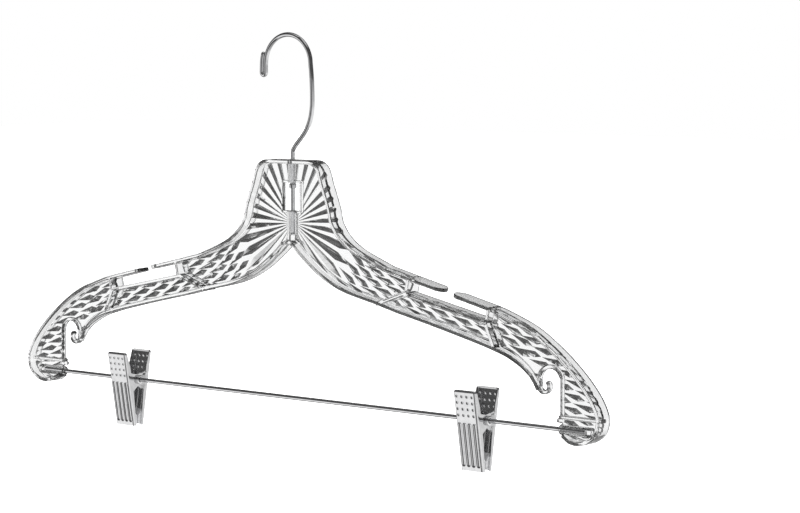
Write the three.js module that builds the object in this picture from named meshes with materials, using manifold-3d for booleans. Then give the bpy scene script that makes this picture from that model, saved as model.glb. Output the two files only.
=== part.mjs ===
// Clear moulded suit hanger with a swivel wire hook, a trouser bar and two sliding spring clips.
// Millimetres. +X is the hanger's width, +Y its depth (the front face is -Y) and +Z is up.
// The origin is on the hook's swivel axis, level with the inside top of the hook.
import * as THREE from 'three'
import { mergeVertices } from 'three/addons/utils/BufferGeometryUtils.js'
import Module from 'manifold-3d'

const wasm = await Module()
wasm.setup()

// ---------- driving dimensions ----------
const HALF_WIDTH = 216 // half of a 17 inch hanger
const CROWN_Z = -70.2 // top of the moulding below the inside top of the hook
const BAR_Z = CROWN_Z - 137.7 // axis of the trouser bar

const RIM = 2.2 // thickness of the moulding's rim flange
const RIM_DEPTH = 11 // front to back
const WEB = 2 // thickness of the web between the flanges
const END_DEPTH = 4 // depth of the rim round the strap hook at the arm's end, and of the scroll
const LOWER_RIM_END_DEPTH = 5 // the lower rim narrows to this at the scroll
const LOBE_TIP_DEPTH = 7
const LOBE_RIB_DEPTH = 5
const LOBE_RIB = 1.8
const GAP = 0.3 // clearance between pieces that touch

const WIRE_R = 1.3
const WIRE_END = -42.3 // foot of the hook wire, from the crown
const BEAD_R = 2.2
const BEAD_HEIGHT = 3

const NECK_TUBE_R = 2.9
const NECK_TUBE_FOOT = -13.3
const WINDOW_WIDTH = 12.4
const WINDOW_FOOT = -29.3
const WINDOW_WALL = 1.4
const WINDOW_DEPTH = 3.6
const LOWER_BOSS_R = 3.5
const LOWER_BOSS_FOOT = -46.5

const BAR_R = 1.25
const BAR_HALF = 204.7
const BAR_BOSS_R = 2.9
const BAR_BOSS_START = 188.1
const BAR_BOSS_END = 209

const CLIP_X = 132 // centre of each clip at rest
const CLIP_WIDTH = 14.9
const CLIP_TOP = 17
const CLIP_FOOT = -28.1
const CLIP_TOP_Y = 11.9 // outer face of a plate at its top
const CLIP_FOOT_Y = 4.2 // and at its foot
const PLATE = 0.8
const FLANGE_DEPTH = 2.8
const EAR_R = 3
const SPRING_WIRE_R = 0.5
const COIL_R = BAR_R + GAP + SPRING_WIRE_R
const COIL_LENGTH = 8.4

// ---------- helpers ----------
const V2 = (x, y) => new THREE.Vector2(x, y)

function material(color, roughness, metalness) {
  return new THREE.MeshStandardMaterial({ color, roughness, metalness })
}

function solidOf(geometry) {
  const bare = geometry.clone()
  bare.deleteAttribute('normal')
  bare.deleteAttribute('uv')
  const merged = mergeVertices(bare, 1e-4)
  const vertProperties = Float32Array.from(merged.attributes.position.array)
  const triVerts = Uint32Array.from(merged.index.array)
  return new wasm.Manifold(new wasm.Mesh({ numProp: 3, vertProperties, triVerts }))
}

function geometryOf(solid) {
  const mesh = solid.getMesh()
  const geometry = new THREE.BufferGeometry()
  geometry.setAttribute('position', new THREE.BufferAttribute(Float32Array.from(mesh.vertProperties), 3))
  geometry.setIndex(new THREE.BufferAttribute(Uint32Array.from(mesh.triVerts), 1))
  geometry.computeVertexNormals()
  return geometry
}

// A flat outline in X and Z, extruded to a depth that is centred on Y.
function plateOf(points, depth) {
  const geometry = new THREE.ExtrudeGeometry(new THREE.Shape(points), { depth, bevelEnabled: false, steps: 1 })
  geometry.rotateX(Math.PI / 2)
  geometry.translate(0, depth / 2, 0)
  return solidOf(geometry)
}

function boxOf(low, high) {
  const size = high.map((value, i) => value - low[i])
  const geometry = new THREE.BoxGeometry(...size)
  geometry.translate(...low.map((value, i) => value + size[i] / 2))
  return solidOf(geometry)
}

function rodX(radius, from, to, sides = 24) {
  const geometry = new THREE.CylinderGeometry(radius, radius, to - from, sides)
  geometry.rotateZ(Math.PI / 2)
  geometry.translate((from + to) / 2, 0, 0)
  return solidOf(geometry)
}

function rodZ(radius, from, to, sides = 24) {
  const geometry = new THREE.CylinderGeometry(radius, radius, to - from, sides)
  geometry.rotateX(Math.PI / 2)
  geometry.translate(0, 0, (from + to) / 2)
  return solidOf(geometry)
}

// The polyline moved sideways; positive is to the right of its direction of travel.
function offsetLine(points, distance) {
  return points.map((point, i) => {
    const before = points[Math.max(i - 1, 0)]
    const after = points[Math.min(i + 1, points.length - 1)]
    const into = i > 0 ? point.clone().sub(before).normalize() : after.clone().sub(point).normalize()
    const out = i < points.length - 1 ? after.clone().sub(point).normalize() : into
    const normal = V2(into.y + out.y, -into.x - out.x).normalize()
    const stretch = Math.max(normal.x * into.y - normal.y * into.x, 0.35)
    return point.clone().addScaledVector(normal, distance / stretch)
  })
}

// A strip of full depth along a line, from the line itself to `thickness` on its right.
function strip(points, thickness, depth = RIM_DEPTH) {
  return plateOf([...points, ...offsetLine(points, thickness).reverse()], depth)
}

const mirrored = (points) => points.map((p) => V2(-p.x, p.y)).reverse()
const spline = (points, steps) => new THREE.SplineCurve(points.map(([x, z]) => V2(x, z))).getPoints(steps)

function arc(x, z, radius, fromDeg, toDeg, steps) {
  const [from, to] = [fromDeg, toDeg].map(THREE.MathUtils.degToRad)
  return new THREE.EllipseCurve(x, z, radius, radius, from, to, toDeg < fromDeg).getPoints(steps)
}

// ---------- lines of the moulding's right half, from the crown's top centre ----------
const crown = [V2(0, 0), V2(14, 0), ...arc(15.2, -10, 10, 83, 15, 6)]
const neckSide = spline([[26.6, -13], [31.6, -26], [33.6, -34], [38.2, -41], [45.6, -47], [55, -51.6], [71, -57.7]], 14)
const innerTab = [V2(88.3, -61.9), V2(111.2, -67.2)]
const topLine = [...crown, ...neckSide, ...innerTab]

const outerTab = [V2(117.6, -68.8), V2(143.5, -74.9)]
const shoulder = spline([[150, -76.8], [170, -84.6], [187, -95.6], [200, -106.6], [209.5, -117], [214.4, -125]], 14)
const lobe = spline([[HALF_WIDTH, -131.5], [214, -138.3], [208, -143.4], [200.9, -144.9], [195.5, -143.9]], 10)
const lobeTip = [V2(195.7, -144), V2(190.2, -141.4)]
const strapHookFoot = [V2(186.6, -134), V2(190.3, -134)]
const strapHook = [V2(188.1, -134), ...arc(181.65, -112.1, 6.45, 0, 180, 10)]
const scroll = [V2(175.2, -110.5), ...arc(177.4, -115.4, 2.2, 180, 410, 12)]

const lowerRim = [
  V2(0, -47.7),
  ...spline([[10, -55.5], [24, -65.5], [41, -73.2], [65, -78.8]], 8),
  ...spline([[80, -82.6], [115, -90.4], [147.5, -98.6], [161, -104.8], [168.4, -110.6]], 10),
  V2(171.4, -114.6),
  V2(173.3, -118),
]

const slotFloor = [V2(84.1, -70.3), V2(140.9, -82.3)]
const innerPost = { top: V2(88.3, -62.5), length: 9 }
const outerPost = { top: V2(143.5, -75.5), length: 8 }
const innerStrut = [V2(84.6, -71.5), V2(65.4, -78.4)]
const outerStrut = [V2(141, -83.4), V2(147.6, -98)]
const LOBE_RIB_Z = -131
const lowerRimPlan = [V2(147, RIM_DEPTH / 2), V2(169, LOWER_RIM_END_DEPTH / 2), V2(180, LOWER_RIM_END_DEPTH / 2)]

// ---------- the clear moulding ----------
function bothSides(make) {
  return make(1).add(make(-1))
}

const sided = (points, side) => (side > 0 ? points : mirrored(points))

// A short rib between two points, centred on the line that joins them.
function rib(from, to, side, thickness = RIM, depth = RIM_DEPTH) {
  const line = sided([from, to], side)
  return strip(offsetLine(line, -thickness / 2), thickness, depth)
}

function web() {
  const inset = RIM / 2
  const top = offsetLine(topLine.slice(0, -1), inset)
  const bottom = offsetLine(lowerRim, -inset)
  const throughSlot = offsetLine(slotFloor, inset)
  const outside = offsetLine([outerTab[1], ...shoulder, ...lobe, ...lobeTip, ...strapHook], inset)
  const right = [...top, ...throughSlot, ...outside, ...bottom.reverse()]
  return plateOf([...mirrored(right).slice(0, -1), ...right.slice(1, -1)], WEB)
}

// Everything above and below an outline in X and Y that is the same front and back.
function column(edge) {
  const outline = new THREE.Shape([...edge, ...edge.map((p) => V2(p.x, -p.y)).reverse()])
  const height = 200
  const geometry = new THREE.ExtrudeGeometry(outline, { depth: height, bevelEnabled: false, steps: 1 })
  geometry.translate(0, 0, -height)
  return solidOf(geometry)
}

// The plan of a tab that ends in a half round at x; it runs on to `to`.
function roundEnded(x, to) {
  const radius = RIM_DEPTH / 2
  const inward = Math.sign(to - x)
  const round = arc(0, 0, radius, 180, 90, 6).map((p) => V2(x + inward * (radius + p.x), p.y))
  return column([...round, V2(to, radius)])
}

function rims() {
  const tabTip = innerTab[1].x
  const overTop = strip([...mirrored(topLine).slice(0, -1), ...topLine], RIM)
    .intersect(roundEnded(-tabTip, 1).add(roundEnded(tabTip, -1)))
  const underneath = strip(offsetLine([...mirrored(lowerRim).slice(0, -1), ...lowerRim], -RIM), RIM)
    .intersect(column([...mirrored(lowerRimPlan), ...lowerRimPlan]))
  const ends = bothSides((side) =>
    strip(sided([...outerTab, ...shoulder, ...lobe], side), RIM)
      .intersect(roundEnded(outerTab[0].x * side, HALF_WIDTH * side))
      .add(strip(sided(lobeTip, side), RIM, LOBE_TIP_DEPTH))
      .add(strip(sided(strapHook, side), RIM, END_DEPTH))
      .add(strip(sided(strapHookFoot, side), -RIM, END_DEPTH))
      .add(strip(sided(scroll, side), RIM, END_DEPTH)))
  return overTop.add(underneath).add(ends)
}

// A post stands square on the slot's sloping floor, from its top down to a little inside the floor.
function post({ top, length }, side) {
  const floor = slotFloor[1].clone().sub(slotFloor[0]).normalize()
  return rib(top, V2(top.x + floor.y * length, top.y - floor.x * length), side)
}

function strapSlots() {
  const posts = bothSides((side) => post(innerPost, side).add(post(outerPost, side)))
  const floors = bothSides((side) => strip(sided(slotFloor, side), RIM))
  const struts = bothSides((side) => rib(...innerStrut, side).add(rib(...outerStrut, side)))
  return posts.add(floors).add(struts)
}

function neckBosses() {
  const side = WINDOW_WIDTH / 2
  const tube = rodZ(NECK_TUBE_R, NECK_TUBE_FOOT, -1)
  const frame = boxOf(
    [-side - WINDOW_WALL, -WINDOW_DEPTH / 2, WINDOW_FOOT - WINDOW_WALL],
    [side + WINDOW_WALL, WINDOW_DEPTH / 2, NECK_TUBE_FOOT + WINDOW_WALL])
  const lower = rodZ(LOWER_BOSS_R, LOWER_BOSS_FOOT, WINDOW_FOOT)
  return tube.add(frame).add(lower)
}

function neckCuts() {
  const side = WINDOW_WIDTH / 2
  const opening = boxOf([-side, -RIM_DEPTH, WINDOW_FOOT], [side, RIM_DEPTH, NECK_TUBE_FOOT])
  return opening.add(rodZ(WIRE_R + GAP, WIRE_END - 1, 5))
}

function lobeBosses() {
  return bothSides((side) => {
    const [from, to] = [BAR_BOSS_START, BAR_BOSS_END].map((x) => x * side).sort((a, b) => a - b)
    const boss = rodX(BAR_BOSS_R, from, to).translate([0, 0, BAR_Z - CROWN_Z])
    return boss.add(rib(V2(188.1, LOBE_RIB_Z), V2(HALF_WIDTH - 1, LOBE_RIB_Z), side, LOBE_RIB, LOBE_RIB_DEPTH))
  })
}

function barBore() {
  const reach = BAR_HALF + GAP
  return rodX(BAR_R + GAP, -reach, reach).translate([0, 0, BAR_Z - CROWN_Z])
}

function hangerBody() {
  const solid = web().add(rims()).add(strapSlots()).add(neckBosses()).add(lobeBosses())
  return geometryOf(solid.subtract(neckCuts()).subtract(barBore()))
}

// ---------- the swivel hook: one bent wire, with a swaged bead under the neck tube ----------
function circleShape(radius, sides) {
  const corner = (i) => V2(radius, 0).rotateAround(V2(0, 0), (i * 2 * Math.PI) / sides)
  return new THREE.Shape(Array.from({ length: sides }, (_, i) => corner(i)))
}

function wireAlong(points, radius, sides, steps) {
  const curve = new THREE.CatmullRomCurve3(points.map(([x, z]) => new THREE.Vector3(x, 0, z)), false, 'centripetal')
  const shape = circleShape(radius, sides)
  return solidOf(new THREE.ExtrudeGeometry(shape, { steps, extrudePath: curve, bevelEnabled: false }))
}

function hookWire() {
  const [arcX, arcR] = [-3.3, 17]
  const arcZ = WIRE_R - arcR
  const tipZ = -20.6
  const foldR = WIRE_R + 0.15
  const foldX = arcX - arcR - foldR
  const shank = [[0, CROWN_Z + WIRE_END], [0, CROWN_Z - 14], [0, CROWN_Z + 2], [0.9, CROWN_Z + 6.4]]
  const sweep = [[8.3, CROWN_Z + 14.6], [12.6, CROWN_Z + 21.5], [14.7, CROWN_Z + 31], [14.6, arcZ - 10]]
  const over = arc(arcX, arcZ, arcR, 0, 180, 12).map((p) => [p.x, p.y])
  const wire = wireAlong([...shank, ...sweep, ...over, [arcX - arcR, tipZ]], WIRE_R, 10, 64)
  const turn = arc(foldX, tipZ + 0.01, foldR, 0, -180, 8).map((p) => [p.x, p.y])
  const folded = wireAlong([...turn, [foldX - foldR + 0.3, -14], [foldX - foldR + 1.3, -9]], WIRE_R, 10, 14)
  const beadTop = CROWN_Z + NECK_TUBE_FOOT - GAP
  const bead = rodZ(BEAD_R, beadTop - BEAD_HEIGHT, beadTop, 16)
  return geometryOf(wire.add(folded).add(bead))
}

// ---------- the spring clips, drawn about the bar's axis ----------
const lean = (CLIP_TOP_Y - CLIP_FOOT_Y) / (CLIP_TOP - CLIP_FOOT)
const plateY = (z) => -(CLIP_FOOT_Y + (z - CLIP_FOOT) * lean) // outer face of the front plate

// An outline in Y and Z, extruded along X between two places.
function sidePlate(points, from, to) {
  const shape = new THREE.Shape(points.map(([y, z]) => V2(y, z)))
  const geometry = new THREE.ExtrudeGeometry(shape, { depth: to - from, bevelEnabled: false, steps: 1 })
  geometry.applyMatrix4(new THREE.Matrix4().makeBasis(
    new THREE.Vector3(0, 1, 0), new THREE.Vector3(0, 0, 1), new THREE.Vector3(1, 0, 0)))
  geometry.translate(from, 0, 0)
  return solidOf(geometry)
}

function frontPanel() {
  const half = CLIP_WIDTH / 2
  const outline = [
    [plateY(CLIP_FOOT), CLIP_FOOT], [plateY(CLIP_FOOT) + PLATE, CLIP_FOOT],
    [plateY(CLIP_TOP) + PLATE, CLIP_TOP - 0.6], [plateY(CLIP_TOP) + 2, CLIP_TOP - 0.3],
    [plateY(CLIP_TOP) + 1.7, CLIP_TOP + 0.2], [plateY(CLIP_TOP), CLIP_TOP],
  ]
  return sidePlate(outline, -half, half)
}

function sideFlange(side, length) {
  const outline = [
    [plateY(CLIP_FOOT), CLIP_FOOT], [plateY(CLIP_FOOT) + 2, CLIP_FOOT],
    [plateY(0) + length, -10], [plateY(0) + length, 6],
    [plateY(CLIP_TOP) + 2, CLIP_TOP - 0.3], [plateY(CLIP_TOP), CLIP_TOP],
  ]
  const outer = (side * CLIP_WIDTH) / 2
  const inner = outer - side * PLATE
  return sidePlate(outline, Math.min(outer, inner), Math.max(outer, inner))
}

// A pivot ear: it tapers from the panel to a round end about the bar.
function ear(side, outerX) {
  const round = arc(0, 0, EAR_R, 70, -70, 8).map((p) => [p.x, p.y])
  const outline = [[plateY(7) + 0.3, 7], ...round, [plateY(-9) + 0.3, -9]]
  const inner = outerX - PLATE
  return sidePlate(outline, Math.min(side * outerX, side * inner), Math.max(side * outerX, side * inner))
}

function clipPlate(earX) {
  const flange = earX * 2 === CLIP_WIDTH ? 3.4 : FLANGE_DEPTH
  const bothEars = bothSides((side) => ear(side, earX))
  const flanges = bothSides((side) => sideFlange(side, flange))
  const pivotHole = rodX(BAR_R + GAP, -CLIP_WIDTH, CLIP_WIDTH)
  return frontPanel().add(flanges).add(bothEars).subtract(pivotHole)
}

function jawPad() {
  const inner = PLATE + GAP
  const foot = CLIP_FOOT + 0.6
  const outline = [
    [plateY(foot) + inner, foot], [-0.25, foot + 0.4], [-0.25, foot + 5.5],
    [plateY(-14) + inner + 1.6, -14], [plateY(-14) + inner, -14],
  ]
  const half = CLIP_WIDTH / 2 - PLATE - GAP
  return sidePlate(outline, -half, half)
}

function springCoil() {
  const half = COIL_LENGTH / 2
  const inner = COIL_R - SPRING_WIRE_R
  const outer = COIL_R + SPRING_WIRE_R
  const profile = [V2(inner, -half), V2(outer, -half), V2(outer, half), V2(inner, half), V2(inner, -half)]
  const geometry = new THREE.LatheGeometry(profile, 20)
  geometry.rotateZ(Math.PI / 2)
  return solidOf(geometry)
}

// One leg of the torsion spring, lying along the inside of a plate's grip.
function springLeg(x) {
  const start = new THREE.Vector3(x, -COIL_R - 0.6, 1.6)
  const end = new THREE.Vector3(x, plateY(13) + PLATE + GAP + SPRING_WIRE_R, 13)
  const wire = new THREE.ExtrudeGeometry(circleShape(SPRING_WIRE_R, 8), {
    steps: 1, extrudePath: new THREE.LineCurve3(start, end), bevelEnabled: false,
  })
  return solidOf(wire)
}

// The back half of a clip is the front half turned about Z.
function turned(solid) {
  return solid.rotate([0, 0, 180])
}

// ---------- assembly ----------
const group = new THREE.Group()

function place(name, geometry, finish, x = 0, z = 0) {
  const mesh = new THREE.Mesh(geometry, finish)
  mesh.name = name
  mesh.position.set(x, 0, z)
  group.add(mesh)
}

const clear = material(0xf2f5f6, 0.05, 0)
const chrome = material(0xc9ccd0, 0.15, 1)
const steel = material(0xb4b7bc, 0.28, 1)
const vinyl = material(0x8d9094, 0.6, 0)

place('hook_wire', hookWire(), chrome)
place('hanger_body', hangerBody(), clear, 0, CROWN_Z)
place('trouser_bar', geometryOf(rodX(BAR_R, -BAR_HALF, BAR_HALF, 20)), chrome, 0, BAR_Z)

const outerEar = CLIP_WIDTH / 2
const nestedEar = outerEar - PLATE - GAP
const legX = COIL_LENGTH / 2 - SPRING_WIRE_R

for (const [side, x] of [['left', -CLIP_X], ['right', CLIP_X]]) {
  place(`${side}_clip_spring_coil`, geometryOf(springCoil()), steel, x, BAR_Z)
  place(`${side}_clip_front_plate`, geometryOf(clipPlate(outerEar)), steel, x, BAR_Z)
  place(`${side}_clip_front_pad`, geometryOf(jawPad()), vinyl, x, BAR_Z)
  place(`${side}_clip_front_spring_leg`, geometryOf(springLeg(legX)), steel, x, BAR_Z)
  place(`${side}_clip_back_plate`, geometryOf(turned(clipPlate(nestedEar))), steel, x, BAR_Z)
  place(`${side}_clip_back_pad`, geometryOf(turned(jawPad())), vinyl, x, BAR_Z)
  place(`${side}_clip_back_spring_leg`, geometryOf(turned(springLeg(legX))), steel, x, BAR_Z)
}

export default group
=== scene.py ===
"""Looks of the clear moulded suit hanger: plastic body, wire hook, trouser bar and two sprung steel clips.

Lines of the moulding are in millimetres, X to the right and Z up from the middle of the crown's top, as in
the CAD source. Everything that is placed in the scene is in metres, in the CAD frame.
"""
import math

import bmesh
import bpy
from mathutils import Matrix, Vector


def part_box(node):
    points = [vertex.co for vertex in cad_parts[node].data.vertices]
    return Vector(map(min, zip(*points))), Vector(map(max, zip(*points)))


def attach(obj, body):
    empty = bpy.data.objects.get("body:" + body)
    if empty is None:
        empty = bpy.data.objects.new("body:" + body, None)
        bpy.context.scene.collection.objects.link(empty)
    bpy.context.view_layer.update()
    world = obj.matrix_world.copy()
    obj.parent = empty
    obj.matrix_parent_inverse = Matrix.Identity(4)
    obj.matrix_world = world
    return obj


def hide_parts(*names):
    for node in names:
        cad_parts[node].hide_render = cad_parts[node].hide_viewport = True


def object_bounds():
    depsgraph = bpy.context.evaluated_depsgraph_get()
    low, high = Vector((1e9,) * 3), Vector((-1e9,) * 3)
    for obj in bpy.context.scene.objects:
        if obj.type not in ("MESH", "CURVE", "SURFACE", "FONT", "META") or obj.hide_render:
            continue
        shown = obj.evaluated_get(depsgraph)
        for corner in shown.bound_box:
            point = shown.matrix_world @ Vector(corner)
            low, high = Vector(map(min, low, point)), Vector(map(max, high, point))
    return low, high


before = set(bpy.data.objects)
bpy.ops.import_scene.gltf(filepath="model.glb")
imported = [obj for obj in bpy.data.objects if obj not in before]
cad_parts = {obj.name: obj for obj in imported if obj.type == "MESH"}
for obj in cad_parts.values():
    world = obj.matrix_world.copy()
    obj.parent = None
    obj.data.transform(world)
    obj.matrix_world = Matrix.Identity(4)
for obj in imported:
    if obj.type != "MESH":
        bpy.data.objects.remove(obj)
cad_low, cad_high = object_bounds()

# ---------- driving dimensions, millimetres ----------
MM = 0.001
body_low, body_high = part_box("hanger_body")
bar_low, bar_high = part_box("trouser_bar")
HALF_WIDTH = body_high.x / MM
CROWN_Z = body_high.z / MM
BAR_Z = (bar_low.z + bar_high.z) / 2 / MM - CROWN_Z  # the bar's axis below the crown
BAR_R = (bar_high.z - bar_low.z) / 2 / MM
BAR_HALF = bar_high.x / MM
RIM = 2.2  # thickness of the rims, seen from the front
RIM_DEPTH = (body_high.y - body_low.y) / MM
END_DEPTH = 4  # of the strap hooks and the scrolls
LOWER_RIM_END_DEPTH = 5  # where the lower rim runs into a scroll
TAPER_START = 147  # the lower rim narrows from this X
TAPER_END = 169
LOBE_TIP_DEPTH = 7
TIP_STEPS = 8  # facets round a tab's spatula end
TIP_START = 8  # degrees into the turn, so that the tip's first section isn't a point
WEB_FRONT = -1.0  # the web's flat front face
WEB_BACK = 0.9  # the web's back face, which the rays stand on and the gems are sunk into
CUT_REACH = 8  # half the depth of a tool that goes right through the moulding
GAP = 0.3  # between pieces that touch
INSIDE = 0.03  # keeps the lobes' curve inside the CAD's width
WIRE_R = 1.3  # of the hook
NECK_TUBE_R = 2.9
NECK_TUBE_HEAD = -1
WINDOW_HALF = 6.2  # half the width of the window that shows the hook's foot
WINDOW_HEAD = -13.3
WINDOW_FOOT = -29.3
FRAME_HALF = 0.7  # half the thickness of the window's frame
FRAME_DEPTH = 3.6
SOCKET_R = 3.5
SOCKET_FOOT = -46.5
HOOK_BORE_FOOT = -43.3
HOOK_BORE_HEAD = 5
BEAD_R = 2.2  # the swaged bead that holds the hook in the neck
BEAD_LENGTH = 3
BOSS_R = 2.9
BOSS_START = 188.1  # a lobe's bar boss, from here to BOSS_END
BOSS_END = 209
MITRE_LIMIT = 0.35  # least cosine that widens a strip at a corner

# ---------- the photograph's view ----------
VIEW_AZIMUTH = 38.5
VIEW_ELEVATION = 5.1
VIEW_DISTANCE = 1.4278  # metres
VIEW_TARGET = Vector((0.0785, 0, -0.1216))
LENS = 115.6
SENSOR_WIDTH = 36


# ---------- lines ----------
def spline(points, steps):
    """A uniform Catmull-Rom curve through the points, as `steps` + 1 points."""
    last = len(points) - 1
    out = []
    for k in range(steps + 1):
        place = k / steps * last
        i = min(int(place), last - 1)
        t = place - i
        p0, p1, p2, p3 = (Vector(points[max(0, min(last, i + d))]) for d in (-1, 0, 1, 2))
        out.append(
            p1 * 1.0
            + (p2 - p0) * (t / 2)
            + (p0 * 2 - p1 * 5 + p2 * 4 - p3) * (t * t / 2)
            + (p1 * 3 - p0 - p2 * 3 + p3) * (t * t * t / 2)
        )
    return out


def arc(x, z, radius, start, end, steps):
    """Points round a centre, between two angles in degrees."""
    turn = [math.radians(start + (end - start) * k / steps) for k in range(steps + 1)]
    return [Vector((x + radius * math.cos(a), z + radius * math.sin(a))) for a in turn]


def mirrored(line):
    """The line on the other side of the middle, run the other way."""
    return [Vector((-p.x, p.y)) for p in reversed(line)]


def sided(line, side):
    """The line on the right for side 1, or mirrored to the left for side -1."""
    return line if side > 0 else mirrored(line)


def normals(line):
    """Per point, the sideways step to the right of travel that keeps a strip's thickness at corners."""
    out = []
    for i, p in enumerate(line):
        into = (p - line[i - 1]).normalized() if i else (line[1] - p).normalized()
        onward = (line[i + 1] - p).normalized() if i < len(line) - 1 else into
        n = Vector((into.y + onward.y, -into.x - onward.x)).normalized()
        out.append(n / max(n.x * into.y - n.y * into.x, MITRE_LIMIT))
    return out


def offset_line(line, distance):
    return [p + n * distance for p, n in zip(line, normals(line))]


def V(x, z):
    """A point of the moulding, seen from the front."""
    return Vector((x, z))


crown = [V(0, 0), V(14, 0)] + arc(15.2, -10, 10, 83, 15, 14)
neck_side = spline(
    [(26.6, -13), (31.6, -26), (33.6, -34), (38.2, -41), (45.6, -47), (55, -51.6), (71, -57.7)], 42
)
inner_tab = [V(88.3, -61.9), V(111.2, -67.2)]
outer_tab = [V(117.6, -68.8), V(143.5, -74.9)]
shoulder_and_lobe = spline(
    [(150, -76.8), (170, -84.6), (187, -95.6), (200, -106.6), (209.5, -117), (214.6, -125.5),
     (HALF_WIDTH - INSIDE, -132), (213.8, -138.6), (208, -143.2), (201.3, -144.9), (195.6, -143.9)],
    84,
)
lobe_tip = [V(190.2, -141.4)]
strap_hook = [V(188.1, -134)] + arc(181.65, -112.1, 6.45, 0, 180, 28)
strap_hook_foot = [V(186.6, -134), V(190.3, -134)]
scroll = [V(175.2, -110.5)] + arc(177.4, -115.4, 2.2, 180, 410, 30)
lower_rim = (
    spline([(0, -48.1), (3.2, -49.5), (10, -55.5), (24, -65.5), (41, -73.2), (65, -78.8)], 34)
    + spline([(80, -82.6), (115, -90.4), (147.5, -98.6), (161, -104.8), (168.4, -110.6)], 28)
    + [V(171.4, -114.6), V(173.3, -118)]
)
slot_floor = [V(84.1, -70.3), V(140.9, -82.3)]
inner_strut = [V(84.6, -71.5), V(65.4, -78.4)]
outer_strut = [V(141, -83.4), V(147.6, -98)]
INNER_POST = V(88.3, -62.5)
INNER_POST_LENGTH = 9
OUTER_POST = V(143.5, -75.5)
OUTER_POST_LENGTH = 8
LOBE_RIB_Z = -131
LOBE_RIB_END = HALF_WIDTH - 1
LOBE_RIB = 1.8
LOBE_RIB_DEPTH = 5


# ---------- solids, as bmesh ----------
CORNER_STEPS = 3  # facets round a strip's rounded edge
CORNER_MARGIN = 0.02  # keeps two rounded edges from meeting
EDGE_TURN = (0, 0.52, 1.05, math.pi / 2)  # angles round a rod's rounded edge
DOME_TURN = (1.2, 0.8, 0.4)  # angles down a wire's domed end


def solid(verts, faces):
    """A mesh from its corners and faces, with the normals pointing outwards."""
    bm = bmesh.new()
    made = [bm.verts.new(v) for v in verts]
    for f in faces:
        bm.faces.new([made[i] for i in f])
    bmesh.ops.recalc_face_normals(bm, faces=bm.faces)
    return bm


def rounded_box(low, high, half, radius):
    """A rounded rectangle across [low, high] and [-half, half], as (across, depth) pairs."""
    radius = min(radius, (high - low) / 2 - CORNER_MARGIN, half - CORNER_MARGIN)
    out = []
    for cx, cy, start in (
        (high - radius, half - radius, 0),
        (low + radius, half - radius, 90),
        (low + radius, radius - half, 180),
        (high - radius, radius - half, 270),
    ):
        out += arc(cx, cy, radius, start, start + 90, CORNER_STEPS)
    return out


def sweep(line, low, high, depth, radius=0.5):
    """A strip along a line in X and Z, from `low` to `high` on its right.

    `depth` is a number, or a list with one for each point.
    """
    depths = depth if isinstance(depth, list) else [depth] * len(line)
    verts, faces = [], []
    for p, n, d in zip(line, normals(line), depths):
        for across, y in rounded_box(low, high, d / 2, radius):
            verts.append((p.x + n.x * across, y, p.y + n.y * across))
    size = len(verts) // len(line)
    for i in range(len(line) - 1):
        a, b = i * size, (i + 1) * size
        faces += [(a + k, a + (k + 1) % size, b + (k + 1) % size, b + k) for k in range(size)]
    faces.append(tuple(range(size)))
    faces.append(tuple(range(len(verts) - size, len(verts))))
    return solid(verts, faces)


def prism(outline, front, back):
    """An outline in X and Z, from Y = front to Y = back."""
    count = len(outline)
    verts = [(p.x, front, p.y) for p in outline] + [(p.x, back, p.y) for p in outline]
    faces = [tuple(range(count)), tuple(range(count, 2 * count))]
    faces += [(k, (k + 1) % count, count + (k + 1) % count, count + k) for k in range(count)]
    return solid(verts, faces)


def turned(profile, axis, centre, sides=48):
    """A body of revolution from (radius, place along the axis) pairs that start and end on the axis."""
    verts, faces, rings = [], [], []
    for radius, place in profile:
        if radius == 0:
            rings.append([len(verts)])
            verts.append((0, 0, place))
        else:
            rings.append(list(range(len(verts), len(verts) + sides)))
            angles = [2 * math.pi * k / sides for k in range(sides)]
            verts += [(radius * math.cos(a), radius * math.sin(a), place) for a in angles]
    for a, b in zip(rings, rings[1:]):
        for k in range(sides):
            m = (k + 1) % sides
            corners = [a[k % len(a)], a[m % len(a)], b[m % len(b)], b[k % len(b)]]
            faces.append(tuple(dict.fromkeys(corners)))
    bm = solid(verts, faces)
    turn = Matrix.Rotation(math.pi / 2, 4, "Y") if axis == "X" else Matrix.Identity(4)
    bmesh.ops.transform(bm, matrix=Matrix.Translation(centre) @ turn, verts=bm.verts)
    return bm


def rod(radius, start, end, axis, centre=(0, 0, 0), edge=0.3):
    """A round bar with rounded ends."""
    ends = [(radius - edge + edge * math.sin(a), edge * (1 - math.cos(a))) for a in EDGE_TURN]
    profile = [(0, start)]
    profile += [(r, start + z) for r, z in ends]
    profile += [(r, end - z) for r, z in reversed(ends)]
    profile.append((0, end))
    return turned(profile, axis, centre)


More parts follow.
